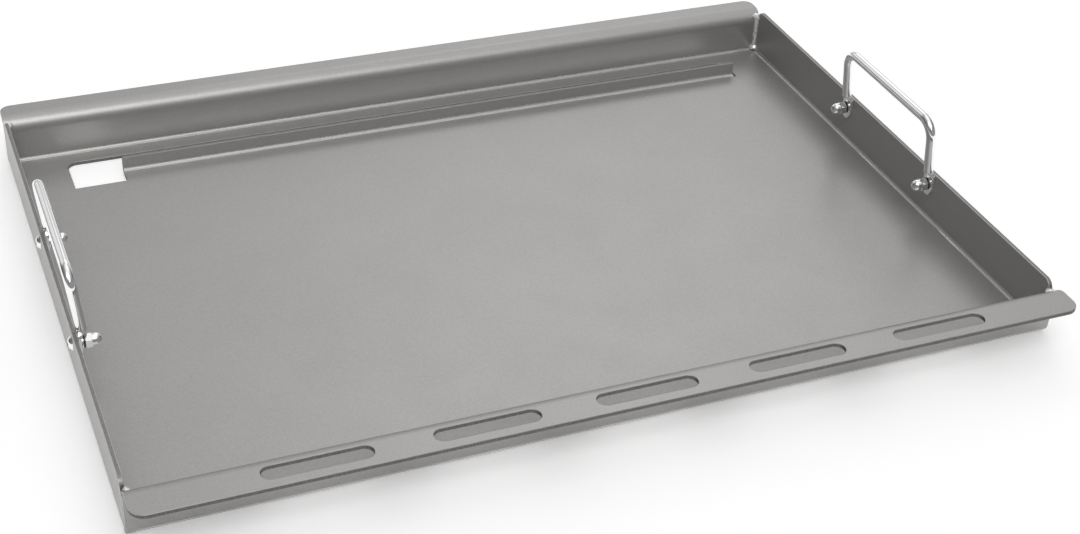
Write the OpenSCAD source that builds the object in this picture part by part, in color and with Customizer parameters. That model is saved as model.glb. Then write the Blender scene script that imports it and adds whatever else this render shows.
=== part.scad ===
// Camp griddle plate: a folded sheet steel pan with a grease dam, a drain opening,
// a slotted front flange and two bolted rod handles. Front is -Y, up is +Z.
// The origin is the middle of the pan's underside.

/* [Pan] */
// Width over the outer faces of the side walls
pan_w = 690; // [620:1:760]
// Depth over the outer faces of the front and rear walls
pan_d = 474; // [400:1:560]
// Thickness of the sheet
sheet_t = 3.2; // [2:0.1:4]
// Inside radius of the bends at the floor
bend_r = 3.5; // [2:0.1:5]
// Inside radius of the bends into the flange and the lip
top_bend_r = 9; // [4:0.5:11]
// Height of the side walls above the underside
side_h = 43.3; // [40:0.1:60]
// Radius of the side walls' top corners
side_corner_r = 8; // [3:0.5:14]
// Radius of the front and rear walls' lower corners
foot_corner_r = 4; // [1:0.5:5]
// Gap between a side wall's end and the wall that it meets
corner_gap = 1.2; // [0.4:0.1:2]

/* [Front flange] */
// Height of the flange's top above the underside
flange_h = 42.7; // [36:0.1:60]
// Reach of the flange in front of the front wall
flange_reach = 30.5; // [28:0.5:50]
// Radius of the flange's front corners
flange_corner_r = 11; // [3:0.5:14]
// Number of long slots in the flange
slot_count = 5; // [1:1:6]
// Length of a slot
slot_len = 74; // [30:1:80]
// Width of a slot
slot_w = 13; // [6:0.5:15]
// Distance from the flange's ends to the outermost slots
slot_end_gap = 79.5; // [30:0.5:100]
// Distance from the flange's front edge to the slots' centre line
slot_inset = 14; // [12:0.5:16]
// How far the row of slots sits to the right of centre
slot_shift = 4; // [-8:0.5:8]

/* [Rear lip] */
// Height of the lip's top above the underside
lip_h = 41.3; // [36:0.1:60]
// Reach of the lip behind the rear wall
lip_reach = 22; // [16:0.5:40]
// Radius of the lip's rear corners
lip_corner_r = 8.5; // [2:0.5:10]

/* [Grease dam and drain] */
// Distance from the rear wall's outer face to the dam's front face
dam_from_rear = 44; // [38:0.5:54]
// Height of the dam's top above the underside
dam_h = 15; // [10:0.5:25]
// Distance from the rear wall's outer face to the vent's rear edge
vent_from_rear = 19.5; // [14:0.5:24]
// Distance from the side walls' outer faces to the vent's ends
vent_end_gap = 44; // [30:0.5:60]
// Radius of the vent's rear corners
vent_corner_r = 8; // [1:0.5:10]
// Free length of the vent at the dam's right end
dam_relief = 2.5; // [2:0.5:15]
// Width of the drain opening at the vent's left end
drain_w = 41.5; // [25:0.5:70]
// Distance from the rear wall's outer face to the drain's front edge
drain_from_rear = 60; // [52:0.5:90]

/* [Handles] */
// Diameter of the handle rod
rod_d = 8; // [6:0.1:10]
// Distance between a handle's two legs, which is also the bolts' spacing
handle_pitch = 131; // [90:1:180]
// Place of the handles' middle behind the pan's middle
handle_y = -3.5; // [-40:0.5:40]
// Height of the grip's centre line above the underside, before leaning
grip_h = 89; // [80:0.5:130]
// Centre line radius of the rod's bends
rod_bend_r = 14; // [10:0.5:22]
// How far both handles lean to the left, in degrees
handle_lean = 6; // [0:0.5:8]
// Thickness of the flattened feet
foot_t = 3; // [2.5:0.1:5]
// Width of the flattened feet
foot_w = 13; // [12:0.5:15]
// Reach of the flattened feet below the bolts' axes
foot_drop = 10.5; // [8:0.5:12]
// Depth below the bolts' axes at which the feet's curved sides would meet
foot_point = 12.5; // [12.5:0.5:20]
// Height of the round rod's lower ends above the side walls' tops
rod_start = 2; // [0.5:0.5:6]
// Clearance between a leg and the side wall's inner face
leg_clear = 0.2; // [0:0.1:1]

/* [Fasteners] */
// Height of the bolts' axes above the underside
bolt_h = 33.4; // [26:0.1:35]
// Diameter of the bolts
bolt_d = 6; // [5:0.05:6.5]
// Clearance around the bolts in the side walls, feet and washers
bolt_clear = 0.3; // [0.1:0.05:0.6]
// Clearance around the bolts in the nuts
thread_clear = 0.05; // [0.02:0.01:0.15]
// Diameter of the domed bolt heads
head_d = 10.5; // [9:0.1:14]
// Height of the domed bolt heads
head_h = 3.3; // [2.5:0.1:4]
// Width across flats of the bolts' hex sockets
socket_af = 4; // [3:0.1:4.5]
// Depth of the bolts' hex sockets
socket_depth = 1.8; // [1:0.1:2]
// Diameter of the flat washers
washer_d = 12; // [11:0.1:15]
// Thickness of the flat washers
washer_t = 1; // [0.8:0.1:2]
// Diameter of the lock washers
lock_d = 9.9; // [9:0.1:12]
// Thickness of the lock washers
lock_t = 1.4; // [1:0.1:2]
// Width of the lock washers' split
lock_split = 1.2; // [0.6:0.1:2]
// Width across flats of the acorn nuts
nut_af = 10; // [9.7:0.1:13]
// Height of the acorn nuts' hex
nut_hex_h = 5; // [4:0.1:7]
// Diameter of the acorn nuts' domes
nut_dome_d = 9.2; // [8.4:0.1:9.5]
// Width of the small ledge around the domes, and of the chamfer at the nuts' bases
nut_ledge = 0.2; // [0.1:0.05:0.4]
// Height of the acorn nuts
nut_h = 12; // [11:0.1:14]
// Wall left over the bolt's end in the acorn nuts
nut_end_wall = 2.5; // [1.5:0.1:3]
// Free room between the bolt's end and the bottom of its bore
nut_end_room = 0.5; // [0.2:0.1:1]

/* [Corner welds] */
// Leg length of the weld beads in the inner corners
weld_leg = 2.6; // [1.5:0.1:4]
// Height of the weld beads' upper ends above the underside
weld_top = 36; // [20:0.5:37]

/* [Hidden] */
$fn = 64;
SIDES = ["left", "right"];
ENDS = ["front", "rear"];
FASTENERS = ["bolt", "flat_washer", "lock_washer", "acorn_nut"];

// Colours of the plain steel, the bright plated pieces and the weld metal
STEEL = [0.60, 0.59, 0.58];
CHROME = [0.86, 0.86, 0.87];
WELD = [0.70, 0.69, 0.68];

// Sheet bends
outer_r = bend_r + sheet_t;
top_outer_r = top_bend_r + sheet_t;
half_w = pan_w / 2;
half_d = pan_d / 2;
inner_x = half_w - sheet_t;
inner_y = half_d - sheet_t;
side_len = 2 * (inner_y - corner_gap);

// Dam, vent and drain, measured from the middle of the pan
dam_face = half_d - dam_from_rear;
vent_rear = half_d - vent_from_rear;
vent_half = half_w - vent_end_gap;
drain_front = half_d - drain_from_rear;
dam_left = drain_w - vent_half;
dam_right = vent_half - dam_relief;

// Slots
slot_pitch = slot_count > 1 ? (pan_w - 2 * slot_end_gap - slot_len) / (slot_count - 1) : 0;
slot_y = slot_inset - half_d - flange_reach;

// Handles: above its foot, a leg leans about the middle of the foot's upper edge.
// Bends and swages are a hair thicker than the straight rod, whose ends reach into them.
// The swage is a little narrower than the foot and reaches into it in the same way.
rod_reach = rod_d / 16;
bend_rod_d = rod_d + rod_d / 80;
foot_r = foot_w / 2;
swage_low = bolt_h + foot_r;
swage_h = side_h + rod_start - swage_low;
swage_w = foot_w - rod_reach;
swage_top_w = rod_d + rod_d / 40;
leg_len = grip_h - swage_low - swage_h - rod_bend_r;
cone_r = norm([swage_w, rod_d + foot_t]) / 2;

// Place of the rod's axis in the leaning frame: the rod clears the wall at the swage's top
function leg_x(lean) = leg_clear + (rod_d - foot_t) / 2 - swage_h * tan(lean);

// Bolt stack, measured inward from the side wall's inner face
washer_at = foot_t;
lock_at = washer_at + washer_t;
nut_at = lock_at + lock_t;
bore_end = nut_at + nut_h - nut_end_wall;
bolt_end = bore_end - nut_end_room;
hole_r = bolt_d / 2 + bolt_clear;
nut_r = nut_af / sqrt(3);
dome_r = nut_dome_d / 2;
head_r = (head_d * head_d / 4 + head_h * head_h) / (2 * head_h);
past = 1;

// Quarter of a bent sheet's edge, in the first quadrant around the bend's centre
module bend_2d(inside_r) {
    outside_r = inside_r + sheet_t;
    intersection() {
        difference() {
            circle(r = outside_r);
            circle(r = inside_r);
        }
        square(outside_r);
    }
}

// Edge of the sheet where the floor turns up into a wall with its outer face at reach
module turn_up_2d(reach) {
    translate([reach - outer_r, outer_r])
        mirror([0, 1])
            bend_2d(bend_r);
}

// Edge of an upright wall that turns outward at its top
module turn_out_2d(reach, top) {
    translate([reach - sheet_t, outer_r])
        square([sheet_t, top - top_outer_r - outer_r]);
    translate([reach + top_bend_r, top - top_outer_r])
        mirror([1, 0])
            bend_2d(top_bend_r);
}

// Strip from y = 0 to y = h with its two far corners rounded
module tongue_2d(w, h, r) {
    translate([-w / 2, 0])
        square([w, h - r]);
    translate([r - w / 2, 0])
        square([w - 2 * r, h]);
    for (side = [-1, 1])
        translate([side * (w / 2 - r), h - r])
            circle(r = r);
}

// Long slot with round ends, around the origin
module slot_2d() {
    square([slot_len - slot_w, slot_w], center = true);
    for (side = [-1, 1])
        translate([side * (slot_len - slot_w) / 2, 0])
            circle(d = slot_w);
}

// Sweeps an edge drawn as (y, z) along X, centred
module along_x(length) {
    rotate([90, 0, 90])
        linear_extrude(height = length, center = true)
            children();
}

// Sweeps an edge drawn as (x, z) along Y, centred
module along_y(length) {
    rotate([90, 0, 0])
        linear_extrude(height = length, center = true)
            children();
}

// Vent and drain as one opening in the floor
module floor_opening_2d() {
    dam_bend = dam_face - bend_r;
    translate([0, dam_bend])
        tongue_2d(2 * vent_half, vent_rear - dam_bend, vent_corner_r);
    translate([-vent_half, drain_front])
        square([drain_w, vent_rear - drain_front - vent_corner_r]);
}

module pan_floor() {
    linear_extrude(height = sheet_t)
        difference() {
            square([pan_w - 2 * outer_r, pan_d - 2 * outer_r], center = true);
            floor_opening_2d();
        }
}

// Low wall folded up from the vent's front edge
module grease_dam() {
    translate([(dam_left + dam_right) / 2, 0, 0])
        along_x(dam_right - dam_left) {
            turn_up_2d(dam_face + sheet_t);
            translate([dam_face, outer_r])
                square([sheet_t, dam_h - outer_r]);
        }
}

module side_wall() {
    along_y(pan_d - 2 * outer_r)
        turn_up_2d(half_w);
    difference() {
        translate([inner_x, 0, outer_r])
            rotate([90, 0, 90])
                linear_extrude(height = sheet_t)
                    tongue_2d(side_len, side_h - outer_r, side_corner_r);
        for (end = [-1, 1])
            translate([inner_x - past, handle_y + end * handle_pitch / 2, bolt_h])
                rotate([0, 90, 0])
                    cylinder(r = hole_r, h = sheet_t + 2 * past);
    }
}

// Ends of a lower bend on the +Y side: they fill the wall's lower corners
// and keep clear of the side walls' bends
module bend_ends() {
    intersection() {
        along_x(pan_w)
            turn_up_2d(half_d);
        translate([0, half_d + past, outer_r])
            rotate([90, 0, 0])
                linear_extrude(height = outer_r - corner_gap + past)
                    mirror([0, 1])
                        tongue_2d(pan_w, outer_r, foot_corner_r);
    }
}

// Upright wall with a flat tongue turned outward at its top, on the +Y side
module turned_wall(top, reach, corner_r) {
    flat = reach - top_bend_r;
    along_x(pan_w - 2 * outer_r)
        turn_up_2d(half_d);
    bend_ends();
    along_x(pan_w)
        turn_out_2d(half_d, top);
    translate([0, half_d + top_bend_r, top - sheet_t])
        linear_extrude(height = sheet_t)
            tongue_2d(pan_w, flat, min(corner_r, flat - sheet_t));
}

module flange_slots() {
    for (i = [0 : slot_count - 1])
        translate([slot_shift + (i - (slot_count - 1) / 2) * slot_pitch, slot_y, flange_h - sheet_t - past])
            linear_extrude(height = sheet_t + 2 * past)
                slot_2d();
}

module griddle_pan() {
    color(STEEL) {
        pan_floor();
        grease_dam();
        side_wall();
        mirror([1, 0, 0])
            side_wall();
        turned_wall(lip_h, lip_reach, lip_corner_r);
        difference() {
            mirror([0, 1, 0])
                turned_wall(flange_h, flange_reach, flange_corner_r);
            flange_slots();
        }
    }
}

// Outline of a foot around its bolt: straight above, with curved sides and a blunt tip below
module foot_2d() {
    side_r = (foot_r * foot_r + foot_point * foot_point) / foot_w;
    translate([-foot_r, 0])
        square([foot_w, foot_r]);
    intersection() {
        circle(r = foot_drop);
        translate([side_r - foot_r, 0])
            circle(r = side_r);
        translate([foot_r - side_r, 0])
            circle(r = side_r);
        translate([-foot_w, foot_r - 2 * foot_w])
            square(2 * foot_w);
    }
}

// Flattened foot with its bolt hole, against the wall's inner face at x = 0
module handle_foot() {
    difference() {
        translate([0, 0, bolt_h])
            rotate([90, 0, 90])
                linear_extrude(height = foot_t)
                    foot_2d();
        translate([-past, 0, bolt_h])
            rotate([0, 90, 0])
                cylinder(r = hole_r, h = foot_t + 2 * past);
    }
}

// Stretch of a leg that changes from the flat foot to the round rod:
// one taper seen from the side, one seen from the front, and a cone that rounds both.
// Its root lies inside the foot; z = 0 is the foot's upper edge.
module handle_swage(lean) {
    intersection() {
        along_y(foot_w)
            polygon([
                [-foot_t / 4, -rod_reach],
                [foot_t / 4, -rod_reach],
                [foot_t / 2, 0],
                [leg_x(lean) + swage_top_w / 2, swage_h],
                [leg_x(lean) - swage_top_w / 2, swage_h],
                [-foot_t / 2, 0]
            ]);
        along_x(4 * rod_d)
            polygon([
                [-swage_w / 2, -rod_reach],
                [swage_w / 2, -rod_reach],
                [swage_w / 2, 0],
                [swage_top_w / 2, swage_h],
                [-swage_top_w / 2, swage_h],
                [-swage_w / 2, 0]
            ]);
        translate([leg_x(lean), 0, -rod_reach])
            cylinder(r1 = cone_r, r2 = bend_rod_d / 2, h = swage_h + rod_reach);
    }
}

// Round rod above the swages: two legs, two bends and the grip
module handle_hoop() {
    reach = handle_pitch / 2 - rod_bend_r;
    for (end = [-1, 1])
        translate([0, end * handle_pitch / 2, -rod_reach])
            cylinder(d = rod_d, h = leg_len + 2 * rod_reach);
    for (end = [0, 1])
        mirror([0, end, 0])
            translate([0, reach, leg_len])
                rotate([90, 0, 90])
                    rotate_extrude(angle = 90)
                        translate([rod_bend_r, 0])
                            circle(d = bend_rod_d);
    translate([0, reach + rod_reach, leg_len + rod_bend_r])
        rotate([90, 0, 0])
            cylinder(d = rod_d, h = 2 * (reach + rod_reach));
}

// Whole handle on a wall whose inner face is x = 0, leaning toward +X
module rod_handle(lean) {
    for (end = [-1, 1])
        translate([0, end * handle_pitch / 2, 0])
            handle_foot();
    translate([foot_t / 2, 0, swage_low])
        rotate([0, lean, 0]) {
            for (end = [-1, 1])
                translate([0, end * handle_pitch / 2, 0])
                    handle_swage(lean);
            translate([leg_x(lean), 0, swage_h])
                handle_hoop();
        }
}

module left_handle() {
    color(CHROME)
        translate([-inner_x, handle_y, 0])
            rod_handle(-handle_lean);
}

module right_handle() {
    color(CHROME)
        translate([inner_x, handle_y, 0])
            mirror([1, 0, 0])
                rod_handle(handle_lean);
}

// Domed bolt with a hex socket; z = 0 is the side wall's inner face
module bolt() {
    color(CHROME) {
        translate([0, 0, -sheet_t])
            cylinder(d = bolt_d, h = sheet_t + bolt_end);
        difference() {
            intersection() {
                translate([0, 0, head_r - sheet_t - head_h])
                    sphere(r = head_r);
                translate([0, 0, -sheet_t - head_h])
                    cylinder(d = head_d, h = head_h);
            }
            translate([0, 0, -sheet_t - head_h - past])
                cylinder(d = socket_af * 2 / sqrt(3), h = socket_depth + past, $fn = 6);
        }
    }
}

module flat_washer() {
    color(CHROME)
        translate([0, 0, washer_at])
            difference() {
                cylinder(d = washer_d, h = washer_t);
                translate([0, 0, -past])
                    cylinder(r = hole_r, h = washer_t + 2 * past);
            }
}

// Split ring; its split faces up
module lock_washer() {
    color(CHROME)
        translate([0, 0, lock_at])
            difference() {
                cylinder(d = lock_d, h = lock_t);
                translate([0, 0, -past])
                    cylinder(r = hole_r, h = lock_t + 2 * past);
                translate([-lock_d, -lock_split / 2, -past])
                    cube([lock_d, lock_split, lock_t + 2 * past]);
            }
}

// Half of the acorn nut's section, without its hex
module dome_2d() {
    square([dome_r, nut_h - dome_r]);
    translate([0, nut_h - dome_r])
        intersection() {
            circle(r = dome_r);
            square(dome_r);
        }
}

// Hex nut with chamfered corners and a closed dome
module acorn_nut() {
    ledge_r = dome_r + nut_ledge;
    color(CHROME)
        translate([0, 0, nut_at])
            difference() {
                union() {
                    intersection() {
                        cylinder(r = nut_r, h = nut_hex_h, $fn = 6);
                        cylinder(r1 = nut_r - nut_ledge, r2 = nut_r - nut_ledge + nut_hex_h, h = nut_hex_h);
                        cylinder(r1 = ledge_r + nut_hex_h, r2 = ledge_r, h = nut_hex_h);
                    }
                    rotate_extrude()
                        dome_2d();
                }
                translate([0, 0, -past])
                    cylinder(r = bolt_d / 2 + thread_clear, h = bore_end - nut_at + past);
            }
}

module fastener(kind) {
    if (kind == "bolt") bolt();
    if (kind == "flat_washer") flat_washer();
    if (kind == "lock_washer") lock_washer();
    if (kind == "acorn_nut") acorn_nut();
}

// Puts a fastener on its axis through a handle's foot
module at_foot(side, end) {
    mirror([side == "right" ? 1 : 0, 0, 0])
        translate([-inner_x, handle_y + (end == "rear" ? 1 : -1) * handle_pitch / 2, bolt_h])
            rotate([0, 90, 0])
                children();
}

// Bead of weld metal in an inner corner, from the bends up
module corner_weld(side, end) {
    color(WELD)
        mirror([side == "left" ? 1 : 0, 0, 0])
            mirror([0, end == "front" ? 1 : 0, 0])
                translate([inner_x, inner_y, outer_r])
                    rotate([0, 0, 180])
                        intersection() {
                            cylinder(r = weld_leg, h = weld_top - outer_r);
                            cube([weld_leg, weld_leg, weld_top - outer_r]);
                        }
}

griddle_pan();
left_handle();
right_handle();
for (s = SIDES, e = ENDS, f = FASTENERS)
    at_foot(s, e) fastener(f);
for (s = SIDES, e = ENDS)
    corner_weld(s, e);
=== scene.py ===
# %% [markdown]
# # A folded steel griddle plate
# The object is a wide, shallow pan for cooking over a camp stove. One sheet of steel is cut to
# shape and folded up on a press: a floor, two side walls, a rear wall with a lip, and a front wall
# with a slotted flange. Two bright rod handles are bolted to the side walls. The CAD model gives
# the place and size of every piece, and it is loaded first as a frame that stays as it is. The
# lesson then makes each piece again as a mesh with eased edges and a finish, in the same place.

# %% Load the frame
import bmesh
import bpy
import math
from mathutils import Matrix, Vector


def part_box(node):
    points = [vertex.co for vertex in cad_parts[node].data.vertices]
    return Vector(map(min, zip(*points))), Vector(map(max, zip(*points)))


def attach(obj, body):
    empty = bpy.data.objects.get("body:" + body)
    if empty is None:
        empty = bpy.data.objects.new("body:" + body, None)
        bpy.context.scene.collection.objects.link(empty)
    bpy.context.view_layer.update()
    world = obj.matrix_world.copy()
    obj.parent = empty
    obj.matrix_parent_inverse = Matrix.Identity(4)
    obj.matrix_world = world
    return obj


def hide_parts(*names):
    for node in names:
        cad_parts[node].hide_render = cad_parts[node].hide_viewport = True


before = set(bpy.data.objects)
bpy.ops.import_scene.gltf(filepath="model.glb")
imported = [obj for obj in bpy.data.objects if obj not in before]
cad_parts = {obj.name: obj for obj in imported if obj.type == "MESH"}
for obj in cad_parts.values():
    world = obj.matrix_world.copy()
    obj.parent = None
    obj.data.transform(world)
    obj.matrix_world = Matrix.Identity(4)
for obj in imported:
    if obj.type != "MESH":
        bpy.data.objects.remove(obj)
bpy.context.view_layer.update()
print("CAD nodes:", len(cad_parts))

# %% [markdown]
# ## Sizes
# Blender works in metres here, and a metal worker thinks in millimetres, so every size below is
# written in millimetres and multiplied by MM. The outer sizes could be typed in as well, but
# reading them from the frame keeps the meshes on the CAD model when it changes.

# %% Name the sizes
MM = 0.001
pan_low, pan_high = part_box("griddle_pan")
HALF_W = pan_high.x
WALL_TOP = pan_high.z
SHEET = 3.2 * MM
BEND_IN = 3.5 * MM
BEND_OUT = BEND_IN + SHEET
BEND_MID = BEND_IN + SHEET / 2
TOP_BEND_IN = 9 * MM
TOP_BEND_OUT = TOP_BEND_IN + SHEET
TOP_BEND_MID = TOP_BEND_IN + SHEET / 2
HALF_D = 237 * MM
FLANGE_TOP = 42.7 * MM
LIP_TOP = 41.3 * MM
FLANGE_EDGE = -pan_low.y
LIP_EDGE = pan_high.y
INNER_X = HALF_W - SHEET


def in_mm(*lengths):
    """Lengths in millimetres, rounded for printing."""
    return [round(length / MM, 2) for length in lengths]


print("pan width and depth over its walls, mm:", in_mm(2 * HALF_W, 2 * HALF_D))
print("flange reach and lip reach, mm:", in_mm(FLANGE_EDGE - HALF_D, LIP_EDGE - HALF_D))

# %% [markdown]
# ## Node helpers
# A finish is a small network of shader nodes. Most of them need the same few things: a noise of
# some grain size, and that noise turned into a range of numbers or colours. A few short helpers
# make those, so that each finish below reads as a list of what the eye sees. Every pattern reads
# Object coordinates. The pieces are modelled in place, so these are plain metres, and a grain size
# can be written in millimetres.

# %% Node helpers
def new_finish(name, metallic, base_color):
    """A material with one metal shader, and the node tree to dress it with."""
    material = bpy.data.materials.new(name)
    material.use_nodes = True
    shader = material.node_tree.nodes["Principled BSDF"]
    shader.inputs["Metallic"].default_value = metallic
    shader.inputs["Base Color"].default_value = (*base_color, 1)
    return material, material.node_tree, shader


def grain(tree, size, stretch=(1, 1, 1), detail=2.0):
    """A noise whose blots are about size across, drawn out along the axes by stretch."""
    place = tree.nodes.new("ShaderNodeTexCoord")
    scale = tree.nodes.new("ShaderNodeMapping")
    noise = tree.nodes.new("ShaderNodeTexNoise")
    scale.inputs["Scale"].default_value = [1 / (size * factor) for factor in stretch]
    noise.inputs["Scale"].default_value = 1
    noise.inputs["Detail"].default_value = detail
    tree.links.new(place.outputs["Object"], scale.inputs["Vector"])
    tree.links.new(scale.outputs["Vector"], noise.inputs["Vector"])
    return noise.outputs["Fac"]


def spread(tree, value, low, high, start=0.3, end=0.7):
    """The same pattern as a number that runs from low to high."""
    node = tree.nodes.new("ShaderNodeMapRange")
    node.inputs["From Min"].default_value = start
    node.inputs["From Max"].default_value = end
    node.inputs["To Min"].default_value = low
    node.inputs["To Max"].default_value = high
    tree.links.new(value, node.inputs["Value"])
    return node.outputs["Result"]


def math_node(tree, operation, *values):
    """One sum on the outputs of other nodes."""
    node = tree.nodes.new("ShaderNodeMath")
    node.operation = operation
    for value, socket in zip(values, node.inputs):
        tree.links.new(value, socket)
    return node.outputs["Value"]


def tinted(tree, base_color, amount):
    """The base colour made lighter and darker by a number near 1."""
    node = tree.nodes.new("ShaderNodeVectorMath")
    node.operation = "SCALE"
    node.inputs[0].default_value = base_color
    tree.links.new(amount, node.inputs["Scale"])
    return node.outputs["Vector"]


def bumped(tree, height, depth, strength, under=None):
    """A normal that rises and falls by depth metres with the pattern."""
    node = tree.nodes.new("ShaderNodeBump")
    node.inputs["Strength"].default_value = strength
    node.inputs["Distance"].default_value = depth
    tree.links.new(height, node.inputs["Height"])
    if under is not None:
        tree.links.new(under, node.inputs["Normal"])
    return node.outputs["Normal"]


print("helpers ready:", [helper.__name__ for helper in (grain, spread, math_node, tinted, bumped)])

# %% [markdown]
# ## Satin sheet
# The sheet is bare cold rolled steel, evenly grey and half dull. Seen close it has three layers of
# life: slow clouds in its colour from the mill, a fine speckle, and a very slight waviness that
# bends its soft reflections. A brushed metal would need long streaks, and here the picture shows
# none, so the noises stay round. The metal is written at the grey it has under a white light tent.
# A part of its light is scattered evenly instead of mirrored, as a skin of very fine scratches
# does.

# %% Satin sheet
SATIN_GREY = (0.4, 0.394, 0.385)
METAL_SHARE = 0.7
CLOUD_SIZE = 120 * MM
SPECKLE_SIZE = 1.3 * MM
DULL_PATCH_SIZE = 45 * MM
WAVE_SIZE = 160 * MM
WAVE_DEPTH = 0.5 * MM
PORE_SIZE = 0.9 * MM
PORE_DEPTH = 0.05 * MM


def satin_sheet():
    material, tree, shader = new_finish("satin_sheet", METAL_SHARE, SATIN_GREY)
    clouds = spread(tree, grain(tree, CLOUD_SIZE, detail=3), low=0.98, high=1.02)
    speckle = spread(tree, grain(tree, SPECKLE_SIZE, detail=3), low=0.93, high=1.07)
    shade = math_node(tree, "MULTIPLY", clouds, speckle)
    tree.links.new(tinted(tree, SATIN_GREY, shade), shader.inputs["Base Color"])
    dullness = spread(tree, grain(tree, DULL_PATCH_SIZE, detail=4), low=0.37, high=0.4)
    tree.links.new(dullness, shader.inputs["Roughness"])
    waves = bumped(tree, grain(tree, WAVE_SIZE, detail=1), WAVE_DEPTH, strength=0.12)
    pores = bumped(tree, grain(tree, PORE_SIZE, detail=2), PORE_DEPTH, strength=0.25, under=waves)
    tree.links.new(pores, shader.inputs["Normal"])
    return material


satin = satin_sheet()
print("finish:", satin.name, "with", len(satin.node_tree.nodes), "nodes")

# %% [markdown]
# ## Cut edge
# Where the sheet was cut, the edge is darker than the faces and has tiny ridges across the
# thickness. Edges that face up are painted brighter, as painted light from above. The surface's own
# normal tells which way an edge faces, so one finish serves both. The arris, the narrow eased
# corner between edge and face, gets a finish of its own with a painted highlight. It is painted
# bright along the two side walls, and elsewhere it stays as dull as the edge, so this finish looks
# at how far a point lies from the middle of the pan.

# %% Cut edge
EDGE_GREY = (0.36, 0.35, 0.342)
SIDE_EDGE_SHARE = 0.42
TOP_LIGHT_SHARE = 0.78
RIDGE_SIZE = 0.7 * MM
RIDGE_STRETCH = (1, 1, 6)
RIDGE_DEPTH = 0.08 * MM
ARRIS_HIGHLIGHT_GREY = (0.66, 0.65, 0.64)
UNLIT_ARRIS_SHARE = 0.5
ARRIS_GRAIN_SIZE = 6 * MM


def cut_edge():
    material, tree, shader = new_finish("cut_edge", 1.0, EDGE_GREY)
    ridges = grain(tree, RIDGE_SIZE, stretch=RIDGE_STRETCH, detail=1)
    facing = tree.nodes.new("ShaderNodeNewGeometry")
    split = tree.nodes.new("ShaderNodeSeparateXYZ")
    tree.links.new(facing.outputs["Normal"], split.inputs["Vector"])
    # Painted light: an edge is painted brighter the more it faces up, as if lit from above.
    painted_top_light = spread(tree, split.outputs["Z"], SIDE_EDGE_SHARE, TOP_LIGHT_SHARE, start=0.2, end=0.8)
    shade = math_node(tree, "MULTIPLY", painted_top_light, spread(tree, ridges, low=0.72, high=1.28))
    tree.links.new(tinted(tree, EDGE_GREY, shade), shader.inputs["Base Color"])
    tree.links.new(spread(tree, ridges, low=0.42, high=0.52), shader.inputs["Roughness"])
    tree.links.new(bumped(tree, ridges, RIDGE_DEPTH, strength=0.4), shader.inputs["Normal"])
    return material


def bright_arris():
    material, tree, shader = new_finish("bright_arris", 1.0, ARRIS_HIGHLIGHT_GREY)
    arris_grain = grain(tree, ARRIS_GRAIN_SIZE, detail=4)
    place = tree.nodes.new("ShaderNodeTexCoord")
    split = tree.nodes.new("ShaderNodeSeparateXYZ")
    tree.links.new(place.outputs["Object"], split.inputs["Vector"])
    outward = math_node(tree, "ABSOLUTE", split.outputs["X"])
    # Painted highlight: the arris is painted bright on the side walls and darker towards the middle.
    painted_highlight = spread(tree, outward, UNLIT_ARRIS_SHARE, 1.0, start=INNER_X - SHEET, end=INNER_X)
    shade = math_node(tree, "MULTIPLY", painted_highlight, spread(tree, arris_grain, low=0.8, high=1.1))
    tree.links.new(tinted(tree, ARRIS_HIGHLIGHT_GREY, shade), shader.inputs["Base Color"])
    tree.links.new(spread(tree, arris_grain, low=0.28, high=0.42), shader.inputs["Roughness"])
    return material


edge_metal = cut_edge()
arris_metal = bright_arris()
print("finishes:", edge_metal.name, arris_metal.name)

# %% [markdown]
# ## Rubbed lines with painted highlights
# A press brake folds the sheet between a blunt tool and a groove. The sheet slides over their edges
# and is rubbed smooth there, so every fold at the floor carries two thin lines along its whole
# length. They are the same steel, only smoother, and their colour is painted much brighter than the
# sheet's as a painted highlight. They are broken up a little where the tool pressed less.

# %% Rubbed lines with painted highlights
# Painted highlight: the rubbed lines are coloured far brighter than the sheet.
RUBBED_HIGHLIGHT_GREY = (0.78, 0.77, 0.755)
PRESS_MARK_SIZE = 12 * MM


def rubbed_highlight_line():
    material, tree, shader = new_finish("rubbed_highlight_line", 1.0, RUBBED_HIGHLIGHT_GREY)
    press = grain(tree, PRESS_MARK_SIZE, detail=4)
    shade = spread(tree, press, low=0.8, high=1.05)
    tree.links.new(tinted(tree, RUBBED_HIGHLIGHT_GREY, shade), shader.inputs["Base Color"])
    tree.links.new(spread(tree, press, low=0.32, high=0.22), shader.inputs["Roughness"])
    return material


rubbed_highlight_metal = rubbed_highlight_line()
print("finish:", rubbed_highlight_metal.name)

# %% [markdown]
# ## Bright plating
# The handles, bolts, washers and nuts are chrome plated. Plating is close to a mirror, and what
# gives it away as metal and not as a perfect mirror is a slightly uneven gloss and a faint ripple
# left from the steel below.

# %% Bright plating
PLATING_TINT = (0.93, 0.932, 0.936)
HAZE_SIZE = 9 * MM
PLATING_RIPPLE = 3.5 * MM
PLATING_DEPTH = 0.03 * MM


def bright_plating():
    material, tree, shader = new_finish("bright_plating", 1.0, PLATING_TINT)
    haze = grain(tree, HAZE_SIZE, detail=3)
    shade = spread(tree, haze, low=0.97, high=1.03)
    tree.links.new(tinted(tree, PLATING_TINT, shade), shader.inputs["Base Color"])
    tree.links.new(spread(tree, haze, low=0.05, high=0.1), shader.inputs["Roughness"])
    ripple = grain(tree, PLATING_RIPPLE, detail=1)
    tree.links.new(bumped(tree, ripple, PLATING_DEPTH, strength=0.3), shader.inputs["Normal"])
    return material


plating = bright_plating()
print("finish:", plating.name)

# %% [markdown]
# ## Dull steel and painted shade
# Two small places on the fasteners are not bright. The lock washers are spring steel that sits in the
# narrow gap under the nuts, and the sockets in the bolt heads are deep hollows. Both are painted almost
# black as painted shade. One function makes both from a grey and a roughness.

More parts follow.
